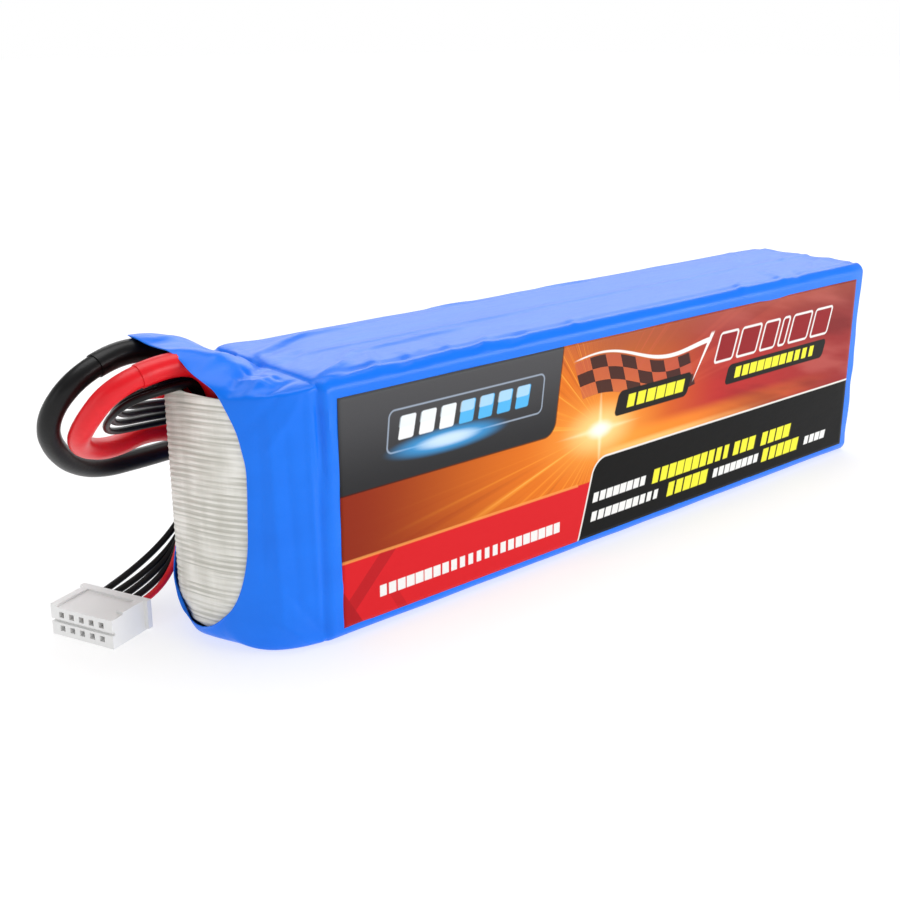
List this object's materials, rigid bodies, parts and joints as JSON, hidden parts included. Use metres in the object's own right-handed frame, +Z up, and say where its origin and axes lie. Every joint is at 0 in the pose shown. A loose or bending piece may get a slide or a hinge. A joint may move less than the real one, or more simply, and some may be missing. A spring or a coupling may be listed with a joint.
{
  "type": "lipo battery pack",
  "caption": "Flat pouch-cell battery pack in a blue heat-shrink sleeve, with a taped nose, two short looped power leads and a balance lead with a white plug.",
  "frame": {"origin": "on the floor under the middle of the pack's length and width, with the film tongue and without the cords", "axes": "+X along the pack from the lead end to the far end, +Y away from the front label, +Z up"},
  "size_m": [0.1449, 0.0386, 0.0396],
  "materials": {
    "shrink_film": "glossy stretched film",
    "fibre_tape": "ribbed filament tape, satin",
    "foam": "closed-cell foam, matte",
    "label_film": "printed film, glossy",
    "pouch_laminate": "satin laminate",
    "electrodes": "dark coated foil, matte",
    "tab_aluminium": "rolled strip, satin",
    "tab_nickel": "nickel plated strip, satin",
    "sealant_film": "translucent film",
    "spacer_tape": "double-sided tape",
    "circuit_board": "solder mask, semi-gloss",
    "copper": "tinned copper",
    "solder": "solder, bright",
    "red_silicone": "silicone insulation, semi-gloss",
    "black_silicone": "silicone insulation, semi-gloss",
    "plug_nylon": "moulded nylon",
    "gold_plate": "gold plated",
    "white_nylon": "moulded nylon"
  },
  "bodies": {
    "root": {"cell_1_pouch": "pouch_laminate", "cell_1_electrode_stack": "electrodes", "cell_1_positive_tab": "tab_aluminium", "cell_1_negative_tab": "tab_nickel", "cell_1_tab_sealant": "sealant_film", "cell_2_pouch": "pouch_laminate", "cell_2_electrode_stack": "electrodes", "cell_2_positive_tab": "tab_aluminium", "cell_2_negative_tab": "tab_nickel", "cell_2_tab_sealant": "sealant_film", "cell_3_pouch": "pouch_laminate", "cell_3_electrode_stack": "electrodes", "cell_3_positive_tab": "tab_aluminium", "cell_3_negative_tab": "tab_nickel", "cell_3_tab_sealant": "sealant_film", "cell_4_pouch": "pouch_laminate", "cell_4_electrode_stack": "electrodes", "cell_4_positive_tab": "tab_aluminium", "cell_4_negative_tab": "tab_nickel", "cell_4_tab_sealant": "sealant_film", "cell_spacer_tape_1": "spacer_tape", "cell_spacer_tape_2": "spacer_tape", "cell_spacer_tape_3": "spacer_tape", "balance_board": "circuit_board", "board_solder_pads": "copper", "balance_solder_joints": "solder", "positive_lead_solder_joint": "solder", "negative_lead_solder_joint": "solder", "front_foam_pad": "foam", "rear_foam_pad": "foam", "filament_tape_wrap": "fibre_tape", "heat_shrink_sleeve": "shrink_film", "front_label": "label_film", "rear_label": "label_film", "positive_lead": "red_silicone", "negative_lead": "black_silicone", "positive_lead_sleeve": "red_silicone", "negative_lead_sleeve": "black_silicone", "main_plug_housing": "plug_nylon", "main_plug_positive_contact": "gold_plate", "main_plug_negative_contact": "gold_plate", "main_plug_positive_boot": "red_silicone", "main_plug_negative_boot": "black_silicone", "balance_plug_housing": "white_nylon", "balance_plug_contacts": "gold_plate", "balance_wire_1": "black_silicone", "balance_wire_2": "black_silicone", "balance_wire_3": "black_silicone", "balance_wire_4": "black_silicone", "balance_wire_5": "red_silicone"}
  },
  "joints": []
}
